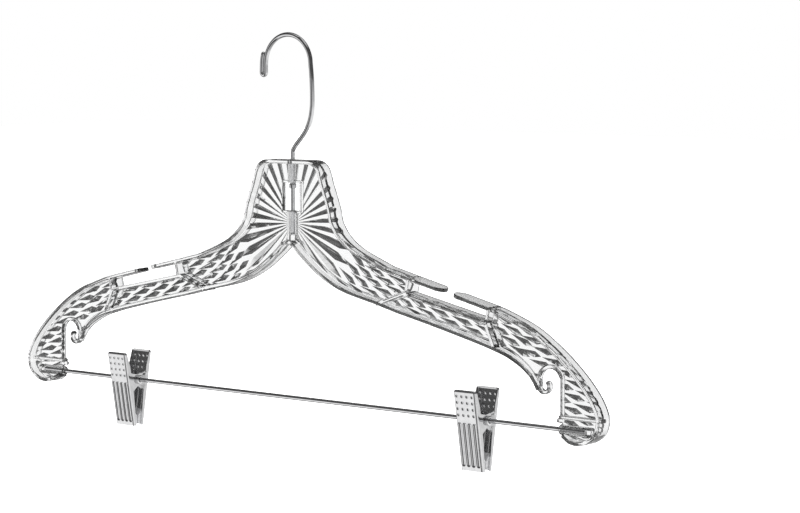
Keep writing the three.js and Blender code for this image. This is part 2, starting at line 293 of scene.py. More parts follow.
def tube_along(points, radius, sides):
    """A round wire along 3-D points, with domed ends."""
    line = [Vector(p) for p in points]
    last = len(line) - 1
    tangents = [(line[min(i + 1, last)] - line[max(i - 1, 0)]).normalized() for i in range(last + 1)]
    rings = []
    across = tangents[0].orthogonal().normalized()
    for p, t in zip(line, tangents):
        across = (across - t * across.dot(t)).normalized()
        rings.append((p, t, across, t.cross(across), radius))
    dome = [(math.cos(a) * radius, math.sin(a) * radius) for a in DOME_TURN]
    p, t, u, v, _ = rings[0]
    rings = [(p - t * z, t, u, v, r) for r, z in dome] + rings
    p, t, u, v, _ = rings[-1]
    rings += [(p + t * z, t, u, v, r) for r, z in reversed(dome)]
    angles = [2 * math.pi * k / sides for k in range(sides)]
    verts, faces = [], []
    for p, _, u, v, r in rings:
        verts += [p + (u * math.cos(a) + v * math.sin(a)) * r for a in angles]
    for i in range(len(rings) - 1):
        a, b = i * sides, (i + 1) * sides
        faces += [(a + k, a + (k + 1) % sides, b + (k + 1) % sides, b + k) for k in range(sides)]
    faces += [tuple(range(sides)), tuple(range(len(verts) - sides, len(verts)))]
    return solid(verts, faces)


# ---------- objects ----------
MERGE_DISTANCE = 0.004  # millimetres, below which two corners are one


def to_object(name, bm):
    """Puts a bmesh into the scene as an object, and frees it."""
    mesh = bpy.data.meshes.new(name)
    bm.to_mesh(mesh)
    bm.free()
    obj = bpy.data.objects.new(name, mesh)
    bpy.context.scene.collection.objects.link(obj)
    return obj


def apply_modifiers(obj):
    """Replaces the object's mesh with what its modifiers make of it."""
    graph = bpy.context.evaluated_depsgraph_get()
    graph.update()
    mesh = bpy.data.meshes.new_from_object(obj.evaluated_get(graph))
    obj.modifiers.clear()
    obj.data = mesh


def combine(obj, bm, operation):
    """Joins, cuts or intersects obj with one more closed solid."""
    tool = to_object("tool", bm)
    modifier = obj.modifiers.new("combine", "BOOLEAN")
    modifier.operation = operation
    modifier.solver = "MANIFOLD"
    modifier.object = tool
    apply_modifiers(obj)
    if len(obj.data.vertices) == 0:
        raise RuntimeError(f"{obj.name}: {operation} left nothing")
    bpy.data.objects.remove(tool)


def finish_mesh(obj, angle, lift=0.0):
    """Scales a piece to metres, lifts it into place and shades edges above `angle` degrees as sharp."""
    bm = bmesh.new()
    bm.from_mesh(obj.data)
    bmesh.ops.remove_doubles(bm, verts=bm.verts, dist=MERGE_DISTANCE)
    bmesh.ops.dissolve_degenerate(bm, edges=bm.edges, dist=MERGE_DISTANCE / 2)
    place = Matrix.Translation((0, 0, lift)) @ Matrix.Scale(MM, 4)
    bmesh.ops.transform(bm, matrix=place, verts=bm.verts)
    bm.to_mesh(obj.data)
    bm.free()
    obj.data.shade_smooth()
    obj.data.set_sharp_from_angle(angle=math.radians(angle))
    weighted = obj.modifiers.new("weighted", "WEIGHTED_NORMAL")
    weighted.keep_sharp = True
    weighted.weight = 80
    return obj


# ---------- the clear moulding ----------
ARM_MIDDLE = [(30, -50), (52, -64), (75, -70.5), (100, -79), (140, -88.5), (172, -98)]
ARM_STEPS = 400  # fine enough to measure along the arm
ARM_ROWS = range(-4, 5)  # rows across the arm, of which those beyond the web's edges cut nothing
LOBE_ROWS = range(-14, 6)
LOBE_COLUMNS = 8
LOBE_X = 166  # the lobe's lattice of gems takes over from the arm's past here
LOBE_ORIGIN = V(167, -98)
LOBE_SLOPE = math.radians(-13)
GEM_SPACING = 8.2  # half the distance between gems in a row
ROW_SPACING = 3.1
LOBE_ROW_SPACING = 3.6
GEM_LENGTH = 8.0  # half of a gem's length
GEM_WIDTH = 1.75  # half of its width
GEM_DEPTH = 1.2
GEM_SKEW = math.radians(5)  # the gems lean a little across the arm
APEX_SHIFT = 0.45  # of the half length, towards +X on both arms
SUN_Z = -36.3  # centre of the sunburst
RAYS = 32
RAY_START = 3.0  # where a ray starts, is widest and ends, from the sunburst's centre
RAY_PEAK = 37.0
RAY_END = 47.0
RAY_SHARE_ABOVE = 0.22  # half of an upper ray's width, as a share of the distance between rays
RAY_SHARE_BELOW = 0.38
RAY_HEIGHT = 1.48  # of a ray's ridge at its peak
FOUNDATION = 0.6  # how far a ray's solid reaches below the web's back face, and a gem's above it


def gem(bm, base, apex, rise):
    """A closed four-sided pyramid on the web's back face, or the tool for a pit if `rise` is negative."""
    root = WEB_BACK - math.copysign(FOUNDATION, rise)
    low = [bm.verts.new((p.x, root, p.y)) for p in base]
    high = [bm.verts.new((p.x, WEB_BACK, p.y)) for p in base]
    peak = bm.verts.new((apex.x, WEB_BACK + rise, apex.y))
    bm.faces.new(low)
    for k in range(4):
        m = (k + 1) % 4
        bm.faces.new((low[k], low[m], high[m], high[k]))
        bm.faces.new((high[k], high[m], peak))


def pit(bm, centre, long, side):
    """The tool for one sunk gem, its long axis along `long`."""
    wide = Vector((-long.y, long.x))
    apex = centre + long * (GEM_LENGTH * APEX_SHIFT * side)
    base = [centre - long * GEM_LENGTH, apex - wide * GEM_WIDTH]
    base += [centre + long * GEM_LENGTH, apex + wide * GEM_WIDTH]
    flip = [Vector((p.x * side, p.y)) for p in [*base, apex]]
    gem(bm, flip[:4], flip[4], -GEM_DEPTH)


def arm_gems(bm, side, column):
    """Every second column, from `column`, of the staggered gems along the arm."""
    fine = spline(ARM_MIDDLE, ARM_STEPS)
    lengths = [0.0]
    for a, b in zip(fine, fine[1:]):
        lengths.append(lengths[-1] + (b - a).length)
    for i in range(column, int(lengths[-1] / GEM_SPACING) + 1, 2):
        k = next(k for k, length in enumerate(lengths) if length >= i * GEM_SPACING)
        along = (fine[k] - fine[k - 1]).normalized()
        across = Vector((-along.y, along.x))
        long = along * math.cos(GEM_SKEW) - across * math.sin(GEM_SKEW)
        for j in ARM_ROWS:
            centre = fine[k] + across * (j * ROW_SPACING)
            clear_of_rays = (centre - V(0, SUN_Z)).length > RAY_END
            if (i + j) % 2 == 0 and clear_of_rays and centre.x < LOBE_X:
                pit(bm, centre, long, side)


def lobe_gems(bm, side, column):
    """Every second column, from `column`, of the staggered gems in the lobe."""
    long = Vector((math.cos(LOBE_SLOPE), math.sin(LOBE_SLOPE)))
    across = Vector((-long.y, long.x))
    for i in range(column - 1, LOBE_COLUMNS, 2):
        for j in LOBE_ROWS:
            centre = LOBE_ORIGIN + long * (i * GEM_SPACING) + across * (j * LOBE_ROW_SPACING)
            if (i + j) % 2 == 0 and centre.x > LOBE_X:
                pit(bm, centre, long, side)


def sunburst(bm):
    """Long ridges that radiate from behind the hook's socket and taper out at both ends."""
    pitch = 2 * math.pi / RAYS
    middle = V(0, SUN_Z)
    for k in range(RAYS):
        turn = math.pi / 2 + (k + 0.5) * pitch
        share = RAY_SHARE_ABOVE + (RAY_SHARE_BELOW - RAY_SHARE_ABOVE) * (1 - math.sin(turn)) / 2
        tail, left, head, right = (
            middle + Vector((math.cos(turn + a * pitch), math.sin(turn + a * pitch))) * r
            for r, a in ((RAY_START, 0), (RAY_PEAK, share), (RAY_END, 0), (RAY_PEAK, -share))
        )
        gem(bm, [tail, right, head, left], (left + right) / 2, RAY_HEIGHT)


def gems(maker, *settings):
    """One mesh of the closed solids that the maker adds."""
    bm = bmesh.new()
    maker(bm, *settings)
    bmesh.ops.recalc_face_normals(bm, faces=bm.faces)
    return bm


def web_outline():
    """The web's edge, along the middle of the rims, round the whole moulding."""
    inset = RIM / 2
    right = (
        offset_line(crown + neck_side + inner_tab[:1], inset)
        + offset_line(slot_floor, inset)
        + offset_line(outer_tab[1:] + shoulder_and_lobe + lobe_tip + strap_hook, inset)
        + list(reversed(offset_line(lower_rim, -inset)))
    )
    return mirrored(right)[:-1] + right[1:-1]


def rounded_start(line, depth):
    """The line and its depths, with the line's first end rounded in plan like a spatula."""
    radius = depth / 2
    direction = (line[1] - line[0]).normalized()
    tip = [math.radians(TIP_START + (90 - TIP_START) * k / TIP_STEPS) for k in range(TIP_STEPS + 1)]
    points = [line[0] + direction * (radius * (1 - math.cos(a))) for a in tip]
    depths = [2 * radius * math.sin(a) for a in tip]
    return points + line[1:], depths + [depth] * (len(line) - 1)


def lower_rim_depth(x):
    """The lower rim's depth, which narrows towards both scrolls."""
    share = (abs(x) - TAPER_START) / (TAPER_END - TAPER_START)
    return RIM_DEPTH + (LOWER_RIM_END_DEPTH - RIM_DEPTH) * max(0, min(1, share))


def rims():
    """The upper and lower rims, the tabs, the strap hooks and the scrolls, one closed strip each."""
    tab, tab_depths = rounded_start(list(reversed(inner_tab)), RIM_DEPTH)
    right = crown + neck_side + list(reversed(tab))
    depths = [RIM_DEPTH] * len(crown + neck_side) + list(reversed(tab_depths))
    yield sweep(mirrored(right)[:-1] + right, 0, RIM, list(reversed(depths))[:-1] + depths)
    under = mirrored(lower_rim)[:-1] + lower_rim
    yield sweep(under, -RIM, 0, [lower_rim_depth(p.x) for p in under])
    for side in (1, -1):
        start, start_depths = rounded_start(outer_tab, RIM_DEPTH)
        line = start + shoulder_and_lobe + lobe_tip
        depths = start_depths + [RIM_DEPTH] * len(shoulder_and_lobe) + [LOBE_TIP_DEPTH]
        yield sweep(sided(line, side), 0, RIM, depths if side > 0 else list(reversed(depths)))
        yield sweep(sided(strap_hook, side), 0, RIM, END_DEPTH, 0.8)
        yield sweep(sided(strap_hook_foot, side), -RIM, 0, END_DEPTH, 0.7)
        yield sweep(sided(scroll, side), 0, RIM, END_DEPTH, 0.9)


def bar_between(start, end, side, thickness=RIM, depth=RIM_DEPTH):
    """A straight strip of the moulding, centred on the line from start to end."""
    return sweep(sided([start, end], side), -thickness / 2, thickness / 2, depth)


def strap_slots():
    """Each arm's slot for a strap: a floor, a post at each end and the struts under them."""
    slope = (slot_floor[1] - slot_floor[0]).normalized()
    down = Vector((slope.y, -slope.x))
    for side in (1, -1):
        yield bar_between(INNER_POST, INNER_POST + down * INNER_POST_LENGTH, side)
        yield bar_between(OUTER_POST, OUTER_POST + down * OUTER_POST_LENGTH, side)
        yield sweep(sided(slot_floor, side), 0, RIM, RIM_DEPTH)
        yield bar_between(*inner_strut, side)
        yield bar_between(*outer_strut, side)


def neck_parts():
    """The tube over the window, the window's frame and the socket under it."""
    yield rod(NECK_TUBE_R, WINDOW_HEAD, NECK_TUBE_HEAD, "Z")
    half = WINDOW_HALF + FRAME_HALF
    foot = WINDOW_FOOT - FRAME_HALF
    head = WINDOW_HEAD + FRAME_HALF
    for x in (-half, half):
        yield sweep([V(x, foot), V(x, head)], -FRAME_HALF, FRAME_HALF, FRAME_DEPTH, 0.4)
    for z in (foot, head):
        yield sweep([V(-half, z), V(half, z)], -FRAME_HALF, FRAME_HALF, FRAME_DEPTH, 0.4)
    yield rod(SOCKET_R, SOCKET_FOOT, WINDOW_FOOT, "Z", edge=0.6)


def lobe_parts():
    """Each lobe's boss for the bar and the short rib over it."""
    for side in (1, -1):
        start, end = sorted((BOSS_START * side, BOSS_END * side))
        yield rod(BOSS_R, start, end, "X", (0, 0, BAR_Z), edge=0.4)
        rib = [V(BOSS_START, LOBE_RIB_Z), V(LOBE_RIB_END, LOBE_RIB_Z)]
        yield bar_between(*rib, side, LOBE_RIB, LOBE_RIB_DEPTH)


def hanger_body():
    """The whole moulding as one closed mesh: web, rays, gems, window, rims and bores."""
    body = to_object("clear_body", gems(sunburst))
    combine(body, prism(web_outline(), -CUT_REACH, CUT_REACH), "INTERSECT")
    combine(body, prism(web_outline(), WEB_FRONT, WEB_BACK), "UNION")
    for side in (1, -1):
        # Neighbouring columns of gems overlap, so they are cut one after the other.
        for column in (1, 2):
            combine(body, gems(arm_gems, side, column), "DIFFERENCE")
            combine(body, gems(lobe_gems, side, column), "DIFFERENCE")
    window = [V(-WINDOW_HALF, WINDOW_FOOT), V(WINDOW_HALF, WINDOW_FOOT)]
    window += [V(WINDOW_HALF, WINDOW_HEAD), V(-WINDOW_HALF, WINDOW_HEAD)]
    combine(body, prism(window, -CUT_REACH, CUT_REACH), "DIFFERENCE")
    for part in [*rims(), *strap_slots(), *neck_parts(), *lobe_parts()]:
        combine(body, part, "UNION")
    combine(body, rod(WIRE_R + GAP, HOOK_BORE_FOOT, HOOK_BORE_HEAD, "Z", edge=0.1), "DIFFERENCE")
    reach = BAR_HALF + GAP
    combine(body, rod(BAR_R + GAP, -reach, reach, "X", (0, 0, BAR_Z), edge=0.1), "DIFFERENCE")
    return finish_mesh(body, 10, lift=CROWN_Z * MM)


# ---------- materials ----------
NOISE_LOW = 0.3  # most of a noise texture's values lie between these two
NOISE_HIGH = 0.7
GRAIN_SCALE = 2400  # of the drawn or rolled metal's grain


class Shader:
    """A material's node tree, with short calls for the nodes that are used here."""

    def __init__(self, name):
        self.material = bpy.data.materials.new(name)
        self.material.use_nodes = True
        self.nodes = self.material.node_tree.nodes
        self.links = self.material.node_tree.links
        self.bsdf = self.nodes["Principled BSDF"]
        self.where = self.nodes.new("ShaderNodeTexCoord").outputs["Object"]

    def set(self, **values):
        """Constants on the shader's own sockets."""
        for key, value in values.items():
            self.bsdf.inputs[key.replace("_", " ")].default_value = value

    def stretched(self, scale):
        node = self.nodes.new("ShaderNodeMapping")
        node.inputs["Scale"].default_value = scale
        self.links.new(self.where, node.inputs["Vector"])
        return node.outputs["Vector"]

    def noise(self, scale, detail=3, stretch=None):
        node = self.nodes.new("ShaderNodeTexNoise")
        node.inputs["Scale"].default_value = scale
        node.inputs["Detail"].default_value = detail
        self.links.new(self.stretched(stretch) if stretch else self.where, node.inputs["Vector"])
        return node.outputs["Fac"]

    def ramp(self, value, low, high):
        """A noise spread over the range from low to high."""
        node = self.nodes.new("ShaderNodeMapRange")
        node.inputs["From Min"].default_value = NOISE_LOW
        node.inputs["From Max"].default_value = NOISE_HIGH
        node.inputs["To Min"].default_value = low
        node.inputs["To Max"].default_value = high
        self.links.new(value, node.inputs["Value"])
        return node.outputs["Result"]

    def colours(self, value, dark, light):
        """A noise spread over the colours from dark to light."""
        node = self.nodes.new("ShaderNodeValToRGB")
        first, second = node.color_ramp.elements
        first.position = NOISE_LOW
        first.color = (*dark, 1)
        second.position = NOISE_HIGH
        second.color = (*light, 1)
        self.links.new(value, node.inputs["Fac"])
        return node.outputs["Color"]

    def bump(self, value, strength, distance):
        node = self.nodes.new("ShaderNodeBump")
        node.inputs["Strength"].default_value = strength
        node.inputs["Distance"].default_value = distance
        self.links.new(value, node.inputs["Height"])
        self.links.new(node.outputs["Normal"], self.bsdf.inputs["Normal"])

    def feed(self, key, value):
        self.links.new(value, self.bsdf.inputs[key])


def clear_plastic():
    s = Shader("clear_polystyrene")
    s.set(IOR=1.58, Transmission_Weight=0.98, Metallic=0.0)
    s.feed("Base Color", s.colours(s.noise(35), dark=(0.975, 0.98, 0.982), light=(0.997, 0.998, 0.998)))
    s.feed("Roughness", s.ramp(s.noise(900, detail=2), low=0.0, high=0.035))
    s.bump(s.noise(160, detail=1, stretch=(1, 1, 3)), strength=0.05, distance=0.0004)
    return s.material


def metal(name, dark, light, rough, grain, stretch):
    """Plated metal, with a pair of roughnesses, the grain's bump strength and its stretch."""
    s = Shader(name)
    s.set(Metallic=1.0)
    s.feed("Base Color", s.colours(s.noise(300, detail=4), dark, light))
    s.feed("Roughness", s.ramp(s.noise(GRAIN_SCALE / 3, stretch=stretch), *rough))
    s.bump(s.noise(GRAIN_SCALE, stretch=stretch), strength=grain, distance=0.00004)
    return s.material


def vinyl():
    s = Shader("ribbed_vinyl")
    s.feed("Base Color", s.colours(s.noise(700, detail=4), dark=(0.34, 0.34, 0.35), light=(0.62, 0.62, 0.63)))
    s.feed("Roughness", s.ramp(s.noise(1500), low=0.45, high=0.7))
    s.bump(s.noise(3000), strength=0.4, distance=0.00008)
    return s.material


def dress(obj, material, body, slot):
    """Gives a piece its material and the body that it rides on. The slot is not used."""
    obj.data.materials.clear()
    obj.data.materials.append(material)
    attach(obj, body)
    return obj


# ---------- hook and bar ----------
def hook_wire():
    """One bent wire: shank, sweep, round hook and a folded tip, with a swaged bead on the shank."""
    hook_low, hook_high = (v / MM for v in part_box("hook_wire"))
    arc_x = -3.3
    arc_r = 17.0
    tip_z = -20.6
    arc_z = hook_high.z - WIRE_R - arc_r
    fold_r = WIRE_R + 0.15
    fold_x = arc_x - arc_r - fold_r
    shank = [(0, hook_low.z + 0.6), (0, CROWN_Z - 30), (0, CROWN_Z - 14), (0, CROWN_Z + 1)]
    bend = [(0.9, CROWN_Z + 6.4), (8.3, CROWN_Z + 14.6), (12.6, CROWN_Z + 21.5)]
    bend += [(14.7, CROWN_Z + 31), (14.6, arc_z - 10)]
    over = [tuple(p) for p in arc(arc_x, arc_z, arc_r, 0, 180, 12)]
    turn = arc(fold_x, tip_z, fold_r, 0, -180, 10)
    end = [(fold_x - fold_r + 0.3, -14), (fold_x - fold_r + 1.1, -10)]
    line = spline(shank + bend + over, 260)
    line += spline([tuple(line[-1]), (arc_x - arc_r, tip_z + 1)], 4)[1:]
    line += turn
    line += spline([tuple(line[-1])] + end, 10)[1:]
    wire = to_object("hook_wire_bent", tube_along([(p.x, 0, p.y) for p in line], WIRE_R, 24))
    bead_top = CROWN_Z + WINDOW_HEAD - GAP
    combine(wire, rod(BEAD_R, bead_top - BEAD_LENGTH, bead_top, "Z", edge=0.7), "UNION")
    return finish_mesh(wire, 40)


def trouser_bar():
    bar = to_object("bar_rod", rod(BAR_R, -BAR_HALF, BAR_HALF, "X", edge=0.4))
    return finish_mesh(bar, 40, lift=(CROWN_Z + BAR_Z) * MM)


# ---------- spring clips, drawn about the bar's axis ----------
clip_low, clip_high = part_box("right_clip_front_plate")
CLIP_X = (clip_low.x + clip_high.x) / 2 / MM
CLIP_HALF = (clip_high.x - clip_low.x) / 2 / MM
CLIP_TOP = (clip_high.z / MM) - CROWN_Z - BAR_Z - 0.2  # just under the CAD plate's top
CLIP_FOOT = (clip_low.z / MM) - CROWN_Z - BAR_Z
CLIP_TOP_Y = -clip_low.y / MM
CLIP_FOOT_Y = 4.2  # from the bar's axis to the plate's outer face, at its foot
EAR_R = clip_high.y / MM  # the pivot ear's round end
PLATE = 0.8
FOLD = 1.1  # outside radius of the folds round a plate's edge
LIP = 2.0  # depth of the flange at a plate's top and foot
FLANGE = 3.4  # depth of the flange along a plate's sides
FLANGE_FOOT_RISE = 18  # height over which the side flange grows from the foot's
FLANGE_TOP_RISE = 9
EAR_SHOULDER = math.radians(70)  # where the ear's round ends and its slopes start
EAR_TOP = 5  # the slopes meet the flange about here
EAR_FOOT = -9
EAR_TOP_RUN = 2.2  # height of each slope
EAR_FOOT_RUN = 6.2
EAR_ROWS = {2.82, -2.82, 5.02}  # rows that carry the ear's corners
FACE_COLUMNS = 44  # facets across and up a plate's face
FACE_ROWS = 112
WALL_STEPS = 8
FOLD_TURN = (0.39, 0.79, 1.18, math.pi / 2)
CORNER_TURN = [math.radians(22.5 * k) for k in range(1, 4)]
JOG_RUN = 1.2  # depth over which the back plate's ears step inwards
OUTER_COLUMN = 1.5  # dimples and flutes lie at -1.5, -0.5, 0.5 and 1.5 spacings
DIMPLE_R = 0.85
DIMPLE_DEPTH = 0.3
DIMPLE_SPACING = 3.45
DIMPLE_ROWS = 4
DIMPLE_ROW_SPACING = 3.5
DIMPLE_FOOT = 3.2  # the lowest row of dimples
FLUTE_R = 1.25
FLUTE_DEPTH = 0.6
FLUTE_SPACING = 3.4
FLUTE_TOP = -2.2
FLUTE_FOOT = -24.6
EYELET_FLANGE = 1.0  # how far the eyelet reaches round the hole
EYELET_MIDDLE = 0.75  # where its two rolled beads are centred
EYELET_SEAT = 0.1  # how deep it sits in the ear
EYELET_SIDES = 32
EYELET_BEAD_R = 0.42
EYELET_BEADS = (0.1, 0.95)  # where each bead starts, outwards from the ear
BEAD_TURN = [math.pi * k / 8 for k in range(9)]
SPRING_WIRE_R = 0.5
COIL_R = BAR_R + GAP + SPRING_WIRE_R
COIL_HALF = 3.7
COIL_TURNS = 7
COIL_STEPS = 24  # facets in a turn
WIRE_SIDES = 12
PAD_TOP = -18.5
PAD_TOP_DEPTH = 1.2
PAD_RISE = 0.6  # the pad's foot above the plate's
RIBS = 6
RIB_START = 0.4
RIB_SPACING = 0.85
RIB_CREST_Y = -0.25
RIB_CREST = 0.5  # height of a rib's flat crest
RIB_ROOT_Y = -0.55
RIB_ROOT = 0.68
LEAN = (CLIP_TOP_Y - CLIP_FOOT_Y) / (CLIP_TOP - CLIP_FOOT)


def plate_y(z):
    """The outer face of the front plate."""
    return -(CLIP_FOOT_Y + (z - CLIP_FOOT) * LEAN)


def pressed(x, z):
    """How far the face is pressed in: four rows of dimples on the grip, four long flutes on the jaw."""
    column = max(-OUTER_COLUMN, min(OUTER_COLUMN, round(x / DIMPLE_SPACING - 0.5) + 0.5))
    row = max(0, min(DIMPLE_ROWS - 1, round((z - DIMPLE_FOOT) / DIMPLE_ROW_SPACING)))
    dimple_z = z - DIMPLE_FOOT - row * DIMPLE_ROW_SPACING
    dimple = math.hypot(x - column * DIMPLE_SPACING, dimple_z) / DIMPLE_R
    flute = math.hypot(x - column * FLUTE_SPACING, max(0, z - FLUTE_TOP, FLUTE_FOOT - z)) / FLUTE_R
    return DIMPLE_DEPTH * max(0, 1 - dimple**2) + FLUTE_DEPTH * max(0, 1 - flute**2)


def wall_depth(z):
    """Depth of a plate's side at a height: a shallow flange, with a pivot ear reaching past the bar."""
    rise = max(0, min(1, (z - CLIP_FOOT) / FLANGE_FOOT_RISE, (CLIP_TOP - z) / FLANGE_TOP_RISE))
    flange = LIP + (FLANGE - LIP) * rise
    shoulder = EAR_R * math.sin(EAR_SHOULDER)
    tip = EAR_R * math.cos(EAR_SHOULDER)
    if abs(z) <= shoulder:
        reach = math.sqrt(EAR_R**2 - z**2)
    elif z > 0:
        reach = tip - (z - shoulder) / EAR_TOP_RUN * (tip - plate_y(EAR_TOP))
    else:
        reach = tip - (-z - shoulder) / EAR_FOOT_RUN * (tip - plate_y(EAR_FOOT))
    return max(flange, reach - plate_y(z))


def plate_surface(nested):
    """A plate's outer surface as an open sheet: the pressed face and the walls folded back from it."""
    half = CLIP_HALF - FOLD
    top = CLIP_TOP - FOLD
    columns = [half * (2 * i / FACE_COLUMNS - 1) for i in range(FACE_COLUMNS + 1)]
    even_rows = {CLIP_FOOT + (top - CLIP_FOOT) * i / FACE_ROWS for i in range(FACE_ROWS + 1)}
    rows = sorted(even_rows | EAR_ROWS)
    bm = bmesh.new()
    face = [[bm.verts.new((x, plate_y(z) + pressed(x, z), z)) for x in columns] for z in rows]
    for a, b in zip(face, face[1:]):
        for i in range(len(columns) - 1):
            bm.faces.new((a[i], a[i + 1], b[i + 1], b[i]))
    # Round the face: each corner on its edge, the way out from it in X and Z, and the wall's depth there.
    edge = [(face[j][0], (-1, 0), wall_depth(z)) for j, z in enumerate(rows)]
    edge += [(face[-1][0], (-math.cos(a), math.sin(a)), LIP) for a in CORNER_TURN]
    edge += [(v, (0, 1), LIP) for v in face[-1]]
    edge += [(face[-1][-1], (math.sin(a), math.cos(a)), LIP) for a in CORNER_TURN]
    edge += [(face[j][-1], (1, 0), wall_depth(rows[j])) for j in reversed(range(len(rows)))]
    last = [v for v, _, _ in edge]
    steps = [(math.sin(a), 1 - math.cos(a), 0) for a in FOLD_TURN]
    steps += [(1, 1, k / WALL_STEPS) for k in range(1, WALL_STEPS + 1)]
    for out, back, down in steps:
        ring = []
        for v, (ox, oz), depth in edge:
            y = FOLD * back + (depth - FOLD) * down
            jog = (PLATE + GAP) * max(0, min(1, (y - FLANGE) / JOG_RUN)) if nested else 0
            ring.append(bm.verts.new((
                v.co.x + ox * (FOLD * out - jog),
                v.co.y + y,
                v.co.z + oz * FOLD * out,
            )))
        for k in range(len(edge) - 1):
            corners = [last[k], last[k + 1], ring[k + 1], ring[k]]
            bm.faces.new(list(dict.fromkeys(corners)))
        last = ring
    bmesh.ops.recalc_face_normals(bm, faces=bm.faces)
    return bm


def eyelet(start, side):
    """A flared eyelet round the bar's hole: a disc whose rim is rolled into two beads."""
    hole = BAR_R + GAP
    profile = [(0, 0), (hole + EYELET_FLANGE, 0)]
    for bead in EYELET_BEADS:
        profile += [
            (hole + EYELET_MIDDLE + EYELET_BEAD_R * math.sin(a), bead + EYELET_BEAD_R * (1 - math.cos(a)))
            for a in BEAD_TURN
        ]
    profile.append((0, profile[-1][1]))
    return turned([(radius, place * side) for radius, place in profile], "X", (start, 0, 0), EYELET_SIDES)


def clip_plate(name, nested):
    """A pressed plate with two pivot ears. The nested one's ears lie inside the other's, without eyelets."""
    plate = to_object(name, plate_surface(nested))
    middle = plate.data.polygons[FACE_COLUMNS // 2 + FACE_COLUMNS * (FACE_ROWS // 2)]
    sheet = plate.modifiers.new("sheet", "SOLIDIFY")
    sheet.thickness = PLATE
    sheet.offset = 1 if middle.normal.y > 0 else -1
    apply_modifiers(plate)
    if not nested:
        for side in (-1, 1):
            combine(plate, eyelet(side * (CLIP_HALF - EYELET_SEAT), side), "UNION")
    reach = CLIP_HALF + CUT_REACH
    combine(plate, rod(BAR_R + GAP, -reach, reach, "X", edge=0.05), "DIFFERENCE")
    return plate


def jaw_pad(name):
    """A vinyl pad in the foot of the plate, ribbed across its gripping face and its sides."""
    foot = CLIP_FOOT + PAD_RISE
    lip = PLATE + GAP
    ribs = []
    for k in range(RIBS):
        z = foot + RIB_START + RIB_SPACING * k
        ribs += [V(RIB_CREST_Y, z), V(RIB_CREST_Y, z + RIB_CREST), V(RIB_ROOT_Y, z + RIB_ROOT)]
    back = plate_y(PAD_TOP) + lip
    outline = [V(plate_y(foot) + lip, foot)] + ribs + [V(back + PAD_TOP_DEPTH, PAD_TOP), V(back, PAD_TOP)]
    half = CLIP_HALF - PLATE - GAP
    pad = prism(outline, -half, half)
    swap_x_and_y = Matrix(((0, 1, 0, 0), (1, 0, 0, 0), (0, 0, 1, 0), (0, 0, 0, 1)))
    bmesh.ops.transform(pad, matrix=swap_x_and_y, verts=pad.verts)
    bmesh.ops.reverse_faces(pad, faces=pad.faces)
    return to_object(name, pad)


def spring_coil(name):
    """The torsion spring's turns, round the bar."""
    count = COIL_TURNS * COIL_STEPS
    line = []
    for k in range(count + 1):
        a = 2 * math.pi * k / COIL_STEPS
        line.append((COIL_HALF * (2 * k / count - 1), COIL_R * math.sin(a), COIL_R * math.cos(a)))
    return to_object(name, tube_along(line, SPRING_WIRE_R, WIRE_SIDES))


def spring_leg(name):
    """From the coil forward to the plate, then up along the inside of its grip."""
    inset = PLATE + GAP + SPRING_WIRE_R
    side_view = [
        (-COIL_R - 0.6, 2.7),
        (-COIL_R - 2.5, 3.1),
        (plate_y(5) + inset + 1.2, 4.0),
        (plate_y(5) + inset + 0.1, 5.2),
        (plate_y(9) + inset, 9),
        (plate_y(13) + inset, 13),
    ]
    line = [(COIL_HALF, p.x, p.y) for p in spline(side_view, 30)]
    return to_object(name, tube_along(line, SPRING_WIRE_R, WIRE_SIDES))


def clip(side, x):
    """One clip's seven pieces, each on the body that carries it."""
    # Each entry: object, body, CAD node, material, slot, turn about Z, sharp angle in degrees.
    pieces = [(spring_coil(f"{side}_coil"), "slider", "spring_coil", SPRING, "spring_steel", 0, 40)]
    for half, turn in (("front", 0), ("back", math.pi)):
        plate = clip_plate(f"{side}_{half}_pressing", half == "back")
        pieces += [
            (plate, half, f"{half}_plate", CLIP, "clip_steel", turn, 35),
            (jaw_pad(f"{side}_{half}_grip"), half, f"{half}_pad", VINYL, "jaw_pad", turn, 30),
            (spring_leg(f"{side}_{half}_leg"), half, f"{half}_spring_leg", SPRING, "spring_steel", turn, 40),
        ]
    for obj, body, node, material, slot, turn, angle in pieces:
        obj.data.transform(Matrix.Translation((x, 0, 0)) @ Matrix.Rotation(turn, 4, "Z"))
        finish_mesh(obj, angle, lift=(CROWN_Z + BAR_Z) * MM)
        dress(obj, material, f"{side}_clip_{body}", slot)
        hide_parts(f"{side}_clip_{node}")


# ---------- assembly ----------
PLASTIC = clear_plastic()
CHROME = metal("chrome_wire", (0.7, 0.7, 0.71), (0.8, 0.8, 0.81), (0.05, 0.12), 0.05, (1, 1, 0.05))
CLIP = metal("plated_steel", (0.74, 0.74, 0.75), (0.84, 0.84, 0.845), (0.06, 0.13), 0.06, (1, 1, 1))
SPRING = metal("spring_steel", (0.72, 0.72, 0.73), (0.86, 0.86, 0.86), (0.06, 0.14), 0.05, (1, 1, 1))
VINYL = vinyl()

body = dress(hanger_body(), PLASTIC, "hanger", "clear_plastic")
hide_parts("hanger_body")
hook = dress(hook_wire(), CHROME, "hook", "chrome_wire")
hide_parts("hook_wire")
bar = dress(trouser_bar(), CHROME, "hanger", "chrome_wire")
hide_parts("trouser_bar")
clip("left", -CLIP_X)
clip("right", CLIP_X)


# ---------- studio ----------
STRIPS = 8  # bright gaps round the hanger, with a dark flag between each two
FLOOR_DROP = 0.12  # the floor below the hanging clips, metres
FLOOR_HALF = 6  # metres

